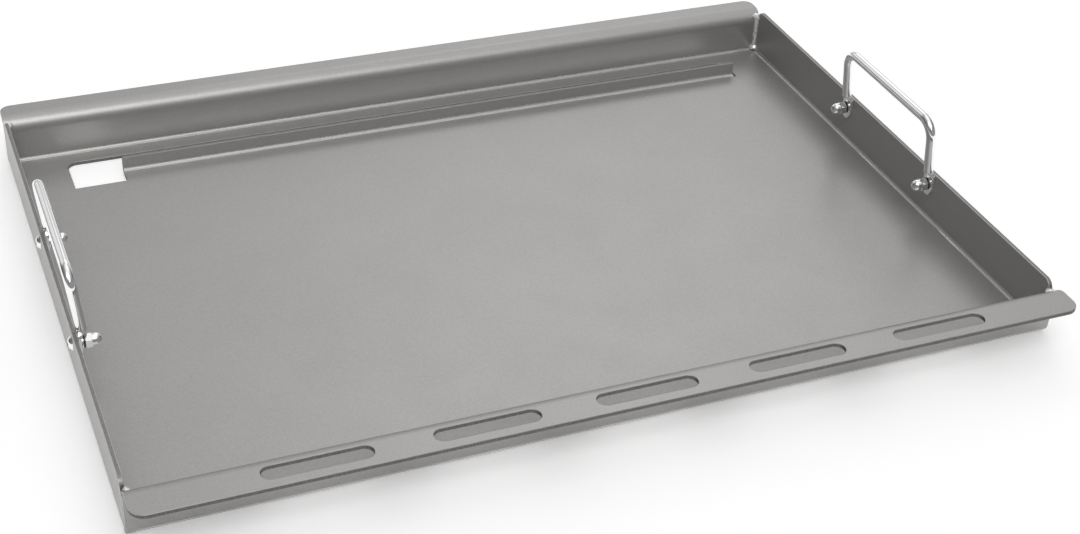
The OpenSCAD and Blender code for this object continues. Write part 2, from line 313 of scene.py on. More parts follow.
# %% Dull steel
SPRING_SHADE_GREY = (0.09, 0.09, 0.093)
SPRING_DULLNESS = 0.35
SOCKET_SHADE_GREY = (0.05, 0.05, 0.052)
SOCKET_DULLNESS = 0.5
STAIN_SIZE = 1.5 * MM
STAIN_DULLNESS = 0.05


def dull_steel(name, base_color, dullness):
    material, tree, shader = new_finish(name, 1.0, base_color)
    stain = grain(tree, STAIN_SIZE, detail=3)
    shade = spread(tree, stain, low=0.85, high=1.15)
    tree.links.new(tinted(tree, base_color, shade), shader.inputs["Base Color"])
    uneven = spread(tree, stain, dullness - STAIN_DULLNESS, dullness + STAIN_DULLNESS)
    tree.links.new(uneven, shader.inputs["Roughness"])
    return material


# Painted shade: the lock washer is near black for the shade in the gap under the nut.
spring_steel_painted_shade = dull_steel("spring_steel_painted_shade", SPRING_SHADE_GREY, SPRING_DULLNESS)
# Painted shade: the socket finish is near black for the shade inside the hollow.
socket_painted_shade = dull_steel("socket_painted_shade", SOCKET_SHADE_GREY, SOCKET_DULLNESS)
print("finishes:", spring_steel_painted_shade.name, socket_painted_shade.name)

# %% [markdown]
# ## Weld metal
# The beads in the corners are the same steel, melted and frozen again. They are a little brighter
# and smoother than the sheet, with a blotchy skin.

# %% Weld metal
WELD_GREY = (0.78, 0.77, 0.76)
WELD_METAL_SHARE = 0.6
SKIN_SIZE = 1.8 * MM
SKIN_DEPTH = 0.1 * MM


def weld_metal():
    material, tree, shader = new_finish("weld_metal", WELD_METAL_SHARE, WELD_GREY)
    skin = grain(tree, SKIN_SIZE, detail=4)
    shade = spread(tree, skin, low=0.85, high=1.15)
    tree.links.new(tinted(tree, WELD_GREY, shade), shader.inputs["Base Color"])
    tree.links.new(spread(tree, skin, low=0.24, high=0.36), shader.inputs["Roughness"])
    tree.links.new(bumped(tree, skin, SKIN_DEPTH, strength=0.3), shader.inputs["Normal"])
    return material


bead_metal = weld_metal()
print("finish:", bead_metal.name)

# %% [markdown]
# ## From bmesh to piece
# Every mesh below is drawn in a bmesh and then becomes an object. The object rides on the only body
# of the model, because nothing on this plate moves, and it takes the place of the CAD nodes that it
# shows. Edges that turn by more than a set angle stay crisp, and all others are shaded round.

# %% Make a piece
CRISP_ANGLE = math.radians(32)


def make_piece(bm, name, finishes, nodes):
    """An object from a bmesh, with its finishes, that stands for the CAD nodes."""
    mesh = bpy.data.meshes.new(name)
    bmesh.ops.recalc_face_normals(bm, faces=bm.faces)
    bm.to_mesh(mesh)
    bm.free()
    for finish in finishes:
        mesh.materials.append(finish)
    for polygon in mesh.polygons:
        polygon.use_smooth = True
    mesh.set_sharp_from_angle(angle=CRISP_ANGLE)
    piece = bpy.data.objects.new(name, mesh)
    bpy.context.scene.collection.objects.link(piece)
    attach(piece, "root")
    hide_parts(*nodes)
    return piece


# %% [markdown]
# ## The folded sheet
# A pan like this could be carved from a block with booleans, but it is made from sheet, and the
# mesh can be made the same way. First the middle of the sheet is drawn as a surface without
# thickness: flat panels, joined by bent strips. A Solidify modifier then gives it the thickness of
# the sheet, half to each side, and a Bevel modifier eases the cut edges. Panels with round corners
# or holes are drawn as outlines and filled, and all else is a grid of quads along a section. Each
# filled outline gets a narrow border of quads, so that the eased edges later have even ground to
# stand on.

# %% Outline helpers
def arc(centre, radius, start, end, steps):
    """Points on an arc in a plane; the angles are in degrees."""
    points = []
    for step in range(steps + 1):
        angle = math.radians(start + (end - start) * step / steps)
        points.append((centre[0] + radius * math.cos(angle), centre[1] + radius * math.sin(angle)))
    return points


def shifted_loop(loop, distance):
    """The loop moved to its left by distance, with its corners kept."""
    moved = []
    for i, point in enumerate(loop):
        here = Vector(point)
        before = (here - Vector(loop[i - 1])).normalized().orthogonal()
        after = (Vector(loop[(i + 1) % len(loop)]) - here).normalized().orthogonal()
        middle = (before + after).normalized()
        moved.append(tuple(here + middle * distance / middle.dot(after)))
    return moved


def fill_outline(bm, outline, holes, place):
    """Fills a flat outline, less its holes.

    place turns a point of the flat drawing into a point in space.
    """
    inner_edges = []
    for loop, inward in [(outline, BORDER), *((hole, -BORDER) for hole in holes)]:
        rim = [bm.verts.new(place(*point)) for point in loop]
        inner = [bm.verts.new(place(*point)) for point in shifted_loop(loop, inward)]
        for i in range(len(loop)):
            bm.faces.new((rim[i - 1], rim[i], inner[i], inner[i - 1]))
            inner_edges.append(bm.edges.get((inner[i - 1], inner[i])))
    bmesh.ops.triangle_fill(bm, use_beauty=True, use_dissolve=False, edges=inner_edges)


def sweep_section(bm, section, stations, place, rubbed_highlight=()):
    """A grid of quads: the section's points, repeated at each station along the fold.

    The listed strips of the section get the finish of the rubbed lines, with their painted highlight.
    """
    rows = [[bm.verts.new(place(station, *point)) for point in section] for station in stations]
    for near, far in zip(rows, rows[1:]):
        for i in range(len(section) - 1):
            face = bm.faces.new((near[i], near[i + 1], far[i + 1], far[i]))
            if i in rubbed_highlight:
                face.material_index = RUBBED_HIGHLIGHT


PAN_FINISHES = [satin, edge_metal, arris_metal, rubbed_highlight_metal]
CUT = PAN_FINISHES.index(edge_metal)
ARRIS = PAN_FINISHES.index(arris_metal)
RUBBED_HIGHLIGHT = PAN_FINISHES.index(rubbed_highlight_metal)
BORDER = 0.45 * MM
BEND_STEPS = 10
RUBBED_HIGHLIGHT_STRIPS = (2, 7)
TOP_BEND_STEPS = 16
CORNER_STEPS = 12
print("a bend is drawn in", BEND_STEPS, "steps of", 90 // BEND_STEPS, "degrees")

# %% [markdown]
# ### Floor, vent and dam
# The floor is one flat panel with one opening. The opening runs along the rear as a vent slot. At
# its left end it widens into a drain, and the strip of sheet that was cut free along the rest of it
# is folded up as a low dam, so that grease runs to the drain and not over the edge. The opening's
# corner points are the ends of the dam, so that the dam's first row of points falls on the floor's
# own.

# %% Floor and dam
FLOOR_MID = SHEET / 2
FLOOR_X = HALF_W - BEND_OUT
FLOOR_Y = HALF_D - BEND_OUT
DAM_INSET = 44 * MM
DAM_FOOT = HALF_D - DAM_INSET - BEND_IN
DAM_TOP = 15 * MM
DAM_RELIEF = 2.5 * MM
VENT_REAR = HALF_D - 19.5 * MM
VENT_X = HALF_W - 44 * MM
VENT_CORNER = 8 * MM
DRAIN_FRONT = HALF_D - 60 * MM
DRAIN_W = 41.5 * MM
DAM_LEFT = DRAIN_W - VENT_X
DAM_RIGHT = VENT_X - DAM_RELIEF


def floor_and_dam(bm):
    outline = [(-FLOOR_X, -FLOOR_Y), (FLOOR_X, -FLOOR_Y), (FLOOR_X, FLOOR_Y), (-FLOOR_X, FLOOR_Y)]
    corner_x = VENT_X - VENT_CORNER
    corner_y = VENT_REAR - VENT_CORNER
    opening = [(-VENT_X, DRAIN_FRONT), (DAM_LEFT, DRAIN_FRONT), (DAM_LEFT, DAM_FOOT)]
    opening += [(DAM_RIGHT, DAM_FOOT), (VENT_X, DAM_FOOT)]
    opening += arc((corner_x, corner_y), VENT_CORNER, 0, 90, CORNER_STEPS)
    opening += arc((-corner_x, corner_y), VENT_CORNER, 90, 180, CORNER_STEPS)
    fill_outline(bm, outline, [opening], lambda x, y: (x, y, FLOOR_MID))
    dam = arc((DAM_FOOT, BEND_OUT), BEND_MID, -90, 0, BEND_STEPS)
    dam.append((DAM_FOOT + BEND_MID, DAM_TOP))
    sweep_section(bm, dam, [DAM_LEFT, DAM_RIGHT], lambda x, y, z: (x, y, z), RUBBED_HIGHLIGHT_STRIPS)


sheet = bmesh.new()
floor_and_dam(sheet)
print("dam length and height, mm:", in_mm(DAM_RIGHT - DAM_LEFT, DAM_TOP))

# %% [markdown]
# ### Side walls
# Each side wall stands on a bend that is a little shorter than the wall, because the corners of the
# blank are cut away where two bends meet. The wall's own bottom edge therefore carries four points,
# and the inner two are the ends of the bend. The wall is an outline with two round upper corners
# and a hole for each bolt.

# %% Side walls
WALL_GAP = 1.2 * MM
WALL_Y = HALF_D - SHEET - WALL_GAP
WALL_CORNER = 8 * MM
WALL_MID = HALF_W - SHEET / 2
BOLT_HOLE = 3.3 * MM
front_low, front_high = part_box("left_front_bolt")
rear_low, rear_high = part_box("left_rear_bolt")
BOLT_Z = (front_low.z + front_high.z) / 2
BOLT_Y = {"front": (front_low.y + front_high.y) / 2, "rear": (rear_low.y + rear_high.y) / 2}
HOLE_STEPS = 32


def side_wall(bm, side):
    bend = arc((FLOOR_X, BEND_OUT), BEND_MID, -90, 0, BEND_STEPS)
    sweep_section(bm, bend, [-FLOOR_Y, FLOOR_Y], lambda y, x, z: (side * x, y, z), RUBBED_HIGHLIGHT_STRIPS)
    corner_y = WALL_Y - WALL_CORNER
    corner_z = WALL_TOP - WALL_CORNER
    outline = [(-WALL_Y, BEND_OUT), (-FLOOR_Y, BEND_OUT), (FLOOR_Y, BEND_OUT), (WALL_Y, BEND_OUT)]
    outline += arc((corner_y, corner_z), WALL_CORNER, 0, 90, CORNER_STEPS)
    outline += arc((-corner_y, corner_z), WALL_CORNER, 90, 180, CORNER_STEPS)
    holes = [arc((y, BOLT_Z), BOLT_HOLE, 0, 360, HOLE_STEPS)[:-1] for y in BOLT_Y.values()]
    fill_outline(bm, outline, holes, lambda y, z: (side * WALL_MID, y, z))


for side in (-1, 1):
    side_wall(sheet, side)
print("bolt centres along the wall, mm:", in_mm(*BOLT_Y.values()))

# %% [markdown]
# ### Front and rear walls
# The front and rear walls span the whole width. Each turns up from the floor, rises, and turns
# outward again in a wider bend: into the flange at the front, and into the lip at the rear. One
# function draws both, from a section that is written as distance outward and height. The lower bend
# reaches past the floor's corner on both sides, so that the wall's lower corners are full and
# round, and leaves a small open relief beside the side wall's bend. The last panel is an outline
# with round corners, and the flange's outline has the five slots as holes.

# %% Front and rear walls
SLOT_LENGTH = 74 * MM
SLOT_WIDTH = 13 * MM
SLOT_COUNT = 5
SLOT_MARGIN = 79.5 * MM
SLOT_PITCH = (2 * HALF_W - 2 * SLOT_MARGIN - SLOT_LENGTH) / (SLOT_COUNT - 1)
SLOT_SHIFT = 4 * MM
SLOT_INSET = 14 * MM
SLOT_END_STEPS = 18
FLANGE_CORNER = 11 * MM
LIP_CORNER = 8.5 * MM
FOOT_CORNER = 4 * MM
RELIEF_ROWS = 2


def slot_outline(centre_x, centre_out):
    radius = SLOT_WIDTH / 2
    half = SLOT_LENGTH / 2 - radius
    right = arc((centre_x + half, centre_out), radius, -90, 90, SLOT_END_STEPS)
    left = arc((centre_x - half, centre_out), radius, 90, 270, SLOT_END_STEPS)
    return right + left


def corner_reach(row):
    """Half length of a lower bend at one of its rows, where the wall's lower corner is round."""
    height = BEND_OUT * (1 - math.cos(math.radians(90 * row / BEND_STEPS)))
    drop = max(0, FOOT_CORNER - height)
    return HALF_W - FOOT_CORNER + math.sqrt(FOOT_CORNER ** 2 - drop ** 2)


def turned_wall(bm, side, top, edge, corner, holes):
    """A front wall (side -1) or a rear wall (side 1), with the panel that it ends in."""

    def place(x, out, z):
        return (x, side * out, z)

    lower = arc((FLOOR_Y, BEND_OUT), BEND_MID, -90, 0, BEND_STEPS)
    sweep_section(bm, lower, [-FLOOR_X, FLOOR_X], place, RUBBED_HIGHLIGHT_STRIPS)
    for end in (-1, 1):
        rows = range(RELIEF_ROWS, BEND_STEPS + 1)
        near = [bm.verts.new(place(end * FLOOR_X, *lower[row])) for row in rows]
        far = [bm.verts.new(place(end * corner_reach(row), *lower[row])) for row in rows]
        for i in range(len(near) - 1):
            bm.faces.new((near[i], near[i + 1], far[i + 1], far[i]))
    wall_mid = HALF_D - SHEET / 2
    inner = HALF_D + TOP_BEND_IN
    upper = [(wall_mid, BEND_OUT)]
    upper += arc((inner, top - TOP_BEND_OUT), TOP_BEND_MID, 180, 90, TOP_BEND_STEPS)
    sweep_section(bm, upper, [-HALF_W, -FLOOR_X, FLOOR_X, HALF_W], place)
    corner_x = HALF_W - corner
    corner_out = edge - corner
    outline = [(-HALF_W, inner), (-FLOOR_X, inner), (FLOOR_X, inner), (HALF_W, inner)]
    outline += arc((corner_x, corner_out), corner, 0, 90, CORNER_STEPS)
    outline += arc((-corner_x, corner_out), corner, 90, 180, CORNER_STEPS)
    fill_outline(bm, outline, holes, lambda x, out: place(x, out, top - SHEET / 2))


slot_places = [SLOT_SHIFT + (i - (SLOT_COUNT - 1) / 2) * SLOT_PITCH for i in range(SLOT_COUNT)]
slots = [slot_outline(x, FLANGE_EDGE - SLOT_INSET) for x in slot_places]
turned_wall(sheet, -1, FLANGE_TOP, FLANGE_EDGE, FLANGE_CORNER, slots)
turned_wall(sheet, 1, LIP_TOP, LIP_EDGE, LIP_CORNER, [])
print("slot centres, mm:", in_mm(*slot_places))

# %% [markdown]
# ### Thickness and eased edges
# The panels and strips share their border points in place but not yet in the mesh, so doubles are
# merged first. Solidify gives the thickness. Its rim takes the second finish, the cut edge. The
# Bevel modifier then eases every edge that turns sharply and gives it the third finish, the bright
# arris. Weighted Normal lets the large flat faces keep their flat shading next to the narrow
# bevels.

# %% Thickness and eased edges
EASE = 0.35 * MM
EASE_STEPS = 2
SHARP_ANGLE = math.radians(50)
SAME_POINT = 0.01 * MM


def thicken(piece):
    solid = piece.modifiers.new("thickness", "SOLIDIFY")
    solid.thickness = SHEET
    solid.offset = 0
    solid.use_even_offset = True
    solid.material_offset_rim = CUT
    ease = piece.modifiers.new("eased edges", "BEVEL")
    ease.width = EASE
    ease.segments = EASE_STEPS
    ease.limit_method = "ANGLE"
    ease.angle_limit = SHARP_ANGLE
    ease.material = ARRIS
    ease.use_clamp_overlap = False
    ease.miter_outer = "MITER_ARC"


def shade_evenly(piece):
    even = piece.modifiers.new("even shading", "WEIGHTED_NORMAL")
    even.weight = 100
    even.keep_sharp = False


bmesh.ops.remove_doubles(sheet, verts=sheet.verts, dist=SAME_POINT)
pan = make_piece(sheet, "folded_pan", PAN_FINISHES, ["griddle_pan"])
thicken(pan)
shade_evenly(pan)
print("folded sheet:", len(pan.data.polygons), "faces before it has thickness")

# %% [markdown]
# ## Rod handles
# A handle is one length of round rod. Its middle is bent into a hoop, and its two ends are pressed
# flat and drilled. A curve with a round bevel would give the hoop, but not the flattened ends, so
# the rod is skinned here: a ring of points is carried along the rod's centre line, and each ring
# has its own width and thickness. The centre line and the two sizes are worked out from the
# distance along the rod. The hole for the bolt is left out, because the bolt fills it and the
# washer covers it. Both handles lean a few degrees to the left.

# %% Handle sizes
ROD_R = 4 * MM
FOOT_T = 3 * MM
FOOT_W = 13 * MM
FOOT_DROP = 10.5 * MM
LEG_CLEAR = 0.2 * MM
GRIP_Z = 89 * MM
ROD_BEND = 14 * MM
LEAN = math.radians(6)
SWAGE_LOW = BOLT_Z + FOOT_W / 2
SWAGE_TOP = WALL_TOP + 2 * MM
HANDLE_MID = (BOLT_Y["front"] + BOLT_Y["rear"]) / 2
HALF_PITCH = (BOLT_Y["rear"] - BOLT_Y["front"]) / 2
print("handle pitch and middle, mm:", in_mm(2 * HALF_PITCH, HANDLE_MID))

# %% [markdown]
# ### Centre line and section of the rod
# Half of the handle is enough, from a foot's tip to the middle of the grip, because the other half
# is its mirror image. Each stop along it holds the place of the centre, the two directions that
# span the ring, the ring's half width and half thickness, and how flat it is, from 0 for round to
# 1 for flat. The foot's lower end is half of an ellipse, longer than wide. The swage blends from
# foot to rod with a smooth step, which is how pressed metal flows.

# %% Rod stops
RING_POINTS = 32
TIP_STEPS = 12
TIP_START_DEGREES = 4
TIP_EDGE = 0.55
TIP_EASE_STEPS = 3
SWAGE_STEPS = 14
ELBOW_STEPS = 14


def smooth_step(t):
    return t * t * (3 - 2 * t)


def rod_stops(lean):
    """Stops from the foot's tip to the grip's middle, with x inward from the wall and y along it."""
    across = Vector((1, 0, 0))
    along = Vector((0, 1, 0))
    stops = []
    half_w = FOOT_W / 2
    for step in range(TIP_STEPS + 1):
        angle = math.radians(TIP_START_DEGREES + (90 - TIP_START_DEGREES) * step / TIP_STEPS)
        centre = Vector((FOOT_T / 2, HALF_PITCH, BOLT_Z - FOOT_DROP * math.cos(angle)))
        thick = FOOT_T / 2 * min(1, TIP_EDGE + (1 - TIP_EDGE) * step / TIP_EASE_STEPS)
        stops.append((centre, along, across, half_w * math.sin(angle), thick, 1.0))
    rod_x = LEG_CLEAR + ROD_R
    for step in range(SWAGE_STEPS + 1):
        t = step / SWAGE_STEPS
        flow = smooth_step(t)
        inward = FOOT_T / 2 + (rod_x - FOOT_T / 2) * flow
        centre = Vector((inward, HALF_PITCH, SWAGE_LOW + (SWAGE_TOP - SWAGE_LOW) * t))
        width = half_w + (ROD_R - half_w) * flow
        thick = FOOT_T / 2 + (ROD_R - FOOT_T / 2) * flow
        stops.append((centre, along, across, width, thick, 1 - flow))
    root = Vector((rod_x, 0, SWAGE_TOP))
    up = Vector((math.sin(lean), 0, math.cos(lean)))
    normal = Vector((math.cos(lean), 0, -math.sin(lean)))
    leg = (GRIP_Z - SWAGE_TOP) - ROD_BEND
    bend_y = HALF_PITCH - ROD_BEND
    for step in range(ELBOW_STEPS + 1):
        angle = math.radians(90 * step / ELBOW_STEPS)
        rise = leg + ROD_BEND * math.sin(angle)
        centre = root + up * rise + along * (bend_y + ROD_BEND * math.cos(angle))
        outward = along * math.cos(angle) + up * math.sin(angle)
        stops.append((centre, outward, normal, ROD_R, ROD_R, 0.0))
    middle = root + up * (leg + ROD_BEND)
    stops.append((middle, up, normal, ROD_R, ROD_R, 0.0))
    return stops


print("stops on half a handle:", len(rod_stops(LEAN)))

# %% [markdown]
# ### Skin the rod
# A ring is a rounded box where the rod is flat and a circle where it is round. A superellipse does
# both: its exponent is 2 for a circle, and grows toward the foot. The rings of the two halves are
# joined into one row, and neighbouring rings are bridged with quads.

# %% Skin the rod
FLAT_POWER = 12.0


def signed_power(value, power):
    return math.copysign(abs(value) ** power, value)


def ring_points(stop):
    """The points of one ring round the rod."""
    centre, wide, thick, half_wide, half_thick, flatness = stop
    power = 2 / (2 + (FLAT_POWER - 2) * flatness)
    points = []
    for i in range(RING_POINTS):
        angle = 2 * math.pi * i / RING_POINTS
        out = half_wide * signed_power(math.cos(angle), power)
        side = half_thick * signed_power(math.sin(angle), power)
        points.append(centre + wide * out + thick * side)
    return points


def skin_rings(bm, rings):
    """Bridges neighbouring rings with quads and closes both ends."""
    rows = [[bm.verts.new(point) for point in ring] for ring in rings]
    for near, far in zip(rows, rows[1:]):
        for i in range(len(near)):
            j = (i + 1) % len(near)
            bm.faces.new((near[i], near[j], far[j], far[i]))
    bm.faces.new(rows[0])
    bm.faces.new(rows[-1])


def mirrored_ring(ring):
    """The same ring on the other half of the handle, with its points in matching order."""
    return [Vector((point.x, -point.y, point.z)) for point in ring]


def rod_handle(name, side, lean):
    half = [ring_points(stop) for stop in rod_stops(lean)]
    other = [mirrored_ring(ring) for ring in reversed(half[:-1])]
    bm = bmesh.new()
    skin_rings(bm, half + other)
    for vert in bm.verts:
        x, y, z = vert.co
        vert.co = (side * (INNER_X - x), HANDLE_MID + y, z)
    piece = make_piece(bm, name + "_rod", [plating], [name])
    shade_evenly(piece)


rod_handle("left_handle", -1, -LEAN)
rod_handle("right_handle", 1, LEAN)
print("handles made, leaning by degrees:", round(math.degrees(LEAN), 1))

# %% [markdown]
# ## Fasteners
# Bolts, washers and nuts are round, some with a hexagon. Bolts and nuts can be spun: a half section
# is carried round an axis in small steps. A hexagon is spun too, by letting the section's radius
# change with the angle, which also gives the true curved chamfers on the nut's corners. The axis
# runs inward from the side wall's inner face.

# %% Spin a section
SPIN_STEPS = 72


def hex_radius(across_flats, angle):
    """Distance from the axis to the side of a hexagon, in the direction of the angle."""
    sixth = math.pi / 3
    return across_flats / 2 / math.cos((angle % sixth) - sixth / 2)


def spin(bm, section_at, inner_rows=0):
    """Closed skin from a half section of (radius, height) points that starts and ends on the axis.

    The section's first inner_rows stretches take the piece's second finish.
    """
    sections = [section_at(2 * math.pi * i / SPIN_STEPS) for i in range(SPIN_STEPS)]
    first = bm.verts.new((0, 0, sections[0][0][1]))
    last = bm.verts.new((0, 0, sections[0][-1][1]))
    rows = []
    for i, section in enumerate(sections):
        angle = 2 * math.pi * i / SPIN_STEPS
        row = [bm.verts.new((r * math.cos(angle), r * math.sin(angle), z)) for r, z in section[1:-1]]
        rows.append(row)
    for i in range(SPIN_STEPS):
        near, far = rows[i - 1], rows[i]
        stretches = [bm.faces.new((first, near[0], far[0]))]
        for a in range(len(near) - 1):
            stretches.append(bm.faces.new((near[a], near[a + 1], far[a + 1], far[a])))
        bm.faces.new((last, far[-1], near[-1]))
        for face in stretches[:inner_rows]:
            face.material_index = 1


def seat_fastener(bm, side, end):
    """Turns a fastener from its own upright axis onto a bolt's axis, pointing into the pan."""
    turn = Matrix.Rotation(math.pi / 2, 4, "Y")
    place = Matrix.Translation((-INNER_X, BOLT_Y[end], BOLT_Z))
    bmesh.ops.transform(bm, matrix=place @ turn, verts=bm.verts)
    if side == "right":
        bmesh.ops.scale(bm, vec=(-1, 1, 1), verts=bm.verts)


print("a fastener is spun in", SPIN_STEPS, "steps")

# %% [markdown]
# ### Domed bolts
# The bolt's head shows outside the wall: a low dome with a hexagon socket. The section starts on
# the axis at the socket's floor, climbs the socket's wall, follows the dome to its rim and goes
# back along the head's underside to the shank. A small round at the rim and at the socket's mouth
# catches the light.

# %% Domed bolts
BOLT_R = 3 * MM
HEAD_R = 5.25 * MM
HEAD_H = 3.3 * MM
SOCKET_AF = 4 * MM
SOCKET_DEPTH = 1.8 * MM
MOUTH_EASE = 0.25 * MM
SOCKET_CONE = 0.3 * MM
SOCKET_TAPER = 0.98
RIM_EASE = 0.15 * MM
RIM_UNDERCUT = 0.1 * MM
BOLT_END = 14.4 * MM
END_CHAMFER = 0.4 * MM
DOME_STEPS = 10
DOME_BALL = (HEAD_R ** 2 + HEAD_H ** 2) / (2 * HEAD_H)


def dome_height(radius):
    """Height of the dome's surface above the wall's outer face."""
    return HEAD_H - DOME_BALL + math.sqrt(DOME_BALL ** 2 - radius ** 2)


def bolt_section(angle):
    mouth = hex_radius(SOCKET_AF, angle)
    lip = mouth + MOUTH_EASE
    floor = HEAD_H - SOCKET_DEPTH
    section = [(0, floor - SOCKET_CONE), (mouth * SOCKET_TAPER, floor)]
    section.append((mouth, dome_height(mouth) - SOCKET_CONE))
    for step in range(DOME_STEPS + 1):
        radius = lip + (HEAD_R - RIM_EASE - lip) * step / DOME_STEPS
        section.append((radius, dome_height(radius)))
    section += [(HEAD_R, RIM_EASE), (HEAD_R - RIM_UNDERCUT, 0), (BOLT_R, 0)]
    outside = [(radius, -SHEET - height) for radius, height in section]
    tip = [(BOLT_R, BOLT_END - END_CHAMFER), (BOLT_R - END_CHAMFER, BOLT_END), (0, BOLT_END)]
    return outside + tip


def domed_bolt(bm):
    spin(bm, bolt_section, inner_rows=2)


print("head diameter and height, mm:", in_mm(2 * HEAD_R, HEAD_H))

# %% [markdown]
# ### Washers
# A washer has a hole, so its closed section is swept round the axis. The flat washer is a whole
# ring with eased edges. The lock washer beside it is a ring of square wire that is cut through
# once, and its two ends spring a little apart, so it is swept only part of the way and closed at
# both ends.

# %% Washers
WASHER_R = 6 * MM
WASHER_T = 1 * MM
WASHER_EASE = 0.2 * MM
LOCK_R = 4.95 * MM
LOCK_T = 1.4 * MM
LOCK_EASE = 0.15 * MM
LOCK_SPLIT = 1.2 * MM
RING_HOLE = BOLT_HOLE
WASHER_AT = FOOT_T
LOCK_AT = WASHER_AT + WASHER_T
NUT_AT = LOCK_AT + LOCK_T


def ring_section(inner, outer, low, high, ease):
    """A closed section with its corners cut at 45 degrees."""
    return [
        (inner, low + ease), (inner + ease, low), (outer - ease, low), (outer, low + ease),
        (outer, high - ease), (outer - ease, high), (inner + ease, high), (inner, high - ease),
    ]


def swept_ring(bm, section, start, end, steps, closed):
    """Carries a closed section round the axis, all the way or with two flat ends."""
    rows = []
    for step in range(steps + (0 if closed else 1)):
        angle = start + (end - start) * step / steps
        rows.append([bm.verts.new((r * math.cos(angle), r * math.sin(angle), z)) for r, z in section])
    pairs = list(zip(rows, rows[1:])) + ([(rows[-1], rows[0])] if closed else [])
    count = len(section)
    for near, far in pairs:
        for i in range(count):
            bm.faces.new((near[i - 1], near[i], far[i], far[i - 1]))
    if not closed:
        bm.faces.new(rows[0])
        bm.faces.new(rows[-1])


def flat_washer(bm):
    section = ring_section(RING_HOLE, WASHER_R, WASHER_AT, WASHER_AT + WASHER_T, WASHER_EASE)
    swept_ring(bm, section, 0, 2 * math.pi, SPIN_STEPS, True)


def lock_washer(bm):
    section = ring_section(RING_HOLE, LOCK_R, LOCK_AT, LOCK_AT + LOCK_T, LOCK_EASE)
    half_split = LOCK_SPLIT / 2 / ((RING_HOLE + LOCK_R) / 2)
    swept_ring(bm, section, math.pi + half_split, 3 * math.pi - half_split, SPIN_STEPS, False)


print("washer stack, mm from the wall:", in_mm(WASHER_AT, LOCK_AT, NUT_AT))

# %% [markdown]
# ### Acorn nuts
# The nut is a hexagon with a round cap that hides the bolt's end. Nothing of its bore shows, so it
# is drawn without one. Its section goes out along the base, up the side of the hexagon, in over the
# chamfer to a narrow ledge, and up the dome to the axis. The two chamfers cut the corners deeper
# than the flats, because the hexagon's radius is larger there.

# %% Acorn nuts
NUT_AF = 10 * MM
NUT_HEX_H = 5 * MM
NUT_H = 12 * MM
NUT_DOME_R = 4.6 * MM
NUT_LEDGE = 0.2 * MM
BASE_CUT = 2 * NUT_LEDGE
TOP_CUT_SHARE = 0.62
LEAST_CUT = 0.05 * MM
DOME_FOOT = 0.1 * MM
NUT_DOME_STEPS = 12


def nut_section(angle):
    side = hex_radius(NUT_AF, angle)
    base = NUT_AF / math.sqrt(3) - BASE_CUT
    ledge = NUT_DOME_R + NUT_LEDGE
    low_cut = max(side - base, LEAST_CUT)
    high_cut = max((side - ledge) * TOP_CUT_SHARE, LEAST_CUT)
    section = [(0, 0), (side - low_cut, 0), (side, low_cut), (side, NUT_HEX_H - high_cut)]
    section += [(ledge, NUT_HEX_H), (NUT_DOME_R, NUT_HEX_H + DOME_FOOT)]
    ball_z = NUT_H - NUT_DOME_R
    for step in range(NUT_DOME_STEPS):
        turn = math.pi / 2 * step / NUT_DOME_STEPS
        section.append((NUT_DOME_R * math.cos(turn), ball_z + NUT_DOME_R * math.sin(turn)))
    section.append((0, NUT_H))
    return [(radius, NUT_AT + z) for radius, z in section]


def acorn_nut(bm):
    spin(bm, nut_section)


print("nut height over the wall, mm:", in_mm(NUT_AT + NUT_H))

# %% [markdown]
# ### Seat the fasteners
# Each of the four bolts carries one of every kind. They are drawn upright at the origin, which
# keeps the sections easy to read, and then turned onto their bolt's axis. Copies that share a mesh
# would do for one side, but the two sides mirror each other, so each piece is drawn in its own
# place.

# %% Seat the fasteners
SIDES = {"left": -1, "right": 1}
FASTENERS = {
    "bolt": (domed_bolt, [plating, socket_painted_shade]),
    "flat_washer": (flat_washer, [plating]),
    "lock_washer": (lock_washer, [spring_steel_painted_shade]),
    "acorn_nut": (acorn_nut, [plating]),
}
for side in SIDES:
    for end in BOLT_Y:
        for kind, (draw, finishes) in FASTENERS.items():
            bm = bmesh.new()
            draw(bm)
            seat_fastener(bm, side, end)
            node = f"{side}_{end}_{kind}"
            make_piece(bm, node + "_turned", finishes, [node])
print("fasteners made:", len(SIDES) * len(BOLT_Y) * len(FASTENERS))

# %% [markdown]
# ## Corner welds
# A bead of weld closes each inner corner. A weld is laid drop by drop, so its skin is a row of
# overlapping ripples. The bead is a quarter round in section, swept upward in small steps, and its
# radius swells and sinks with each ripple. It starts with a large drop over the open relief in the
# corner of the floor, and it ends with a smaller one where the wall has bent back too far to be
# bridged. Its rear side follows that bend, and a part of it runs into the gap between the two
# walls.

# %% Corner welds
WELD_LEG = 2.5 * MM
LOW_DROP = BEND_OUT - 1.2 * MM
TOP_DROP = 36.3 * MM
DROPS = {LOW_DROP: 2.7 * MM, TOP_DROP: 1.5 * MM}
DROP_SPAN = 2.2 * MM
WELD_LOW = LOW_DROP - 2.4 * MM
WELD_TOP = TOP_DROP + 2 * MM
WELD_END = 2 * MM
GAP_FILL = 2.4 * MM
RIPPLE = 2.9 * MM
RIPPLE_DEPTH = 0.08
RIPPLE_BOW = 0.3
BLUNT_END = 0.15
WELD_ROWS = 96
WELD_POINTS = 11
INNER_Y = HALF_D - SHEET


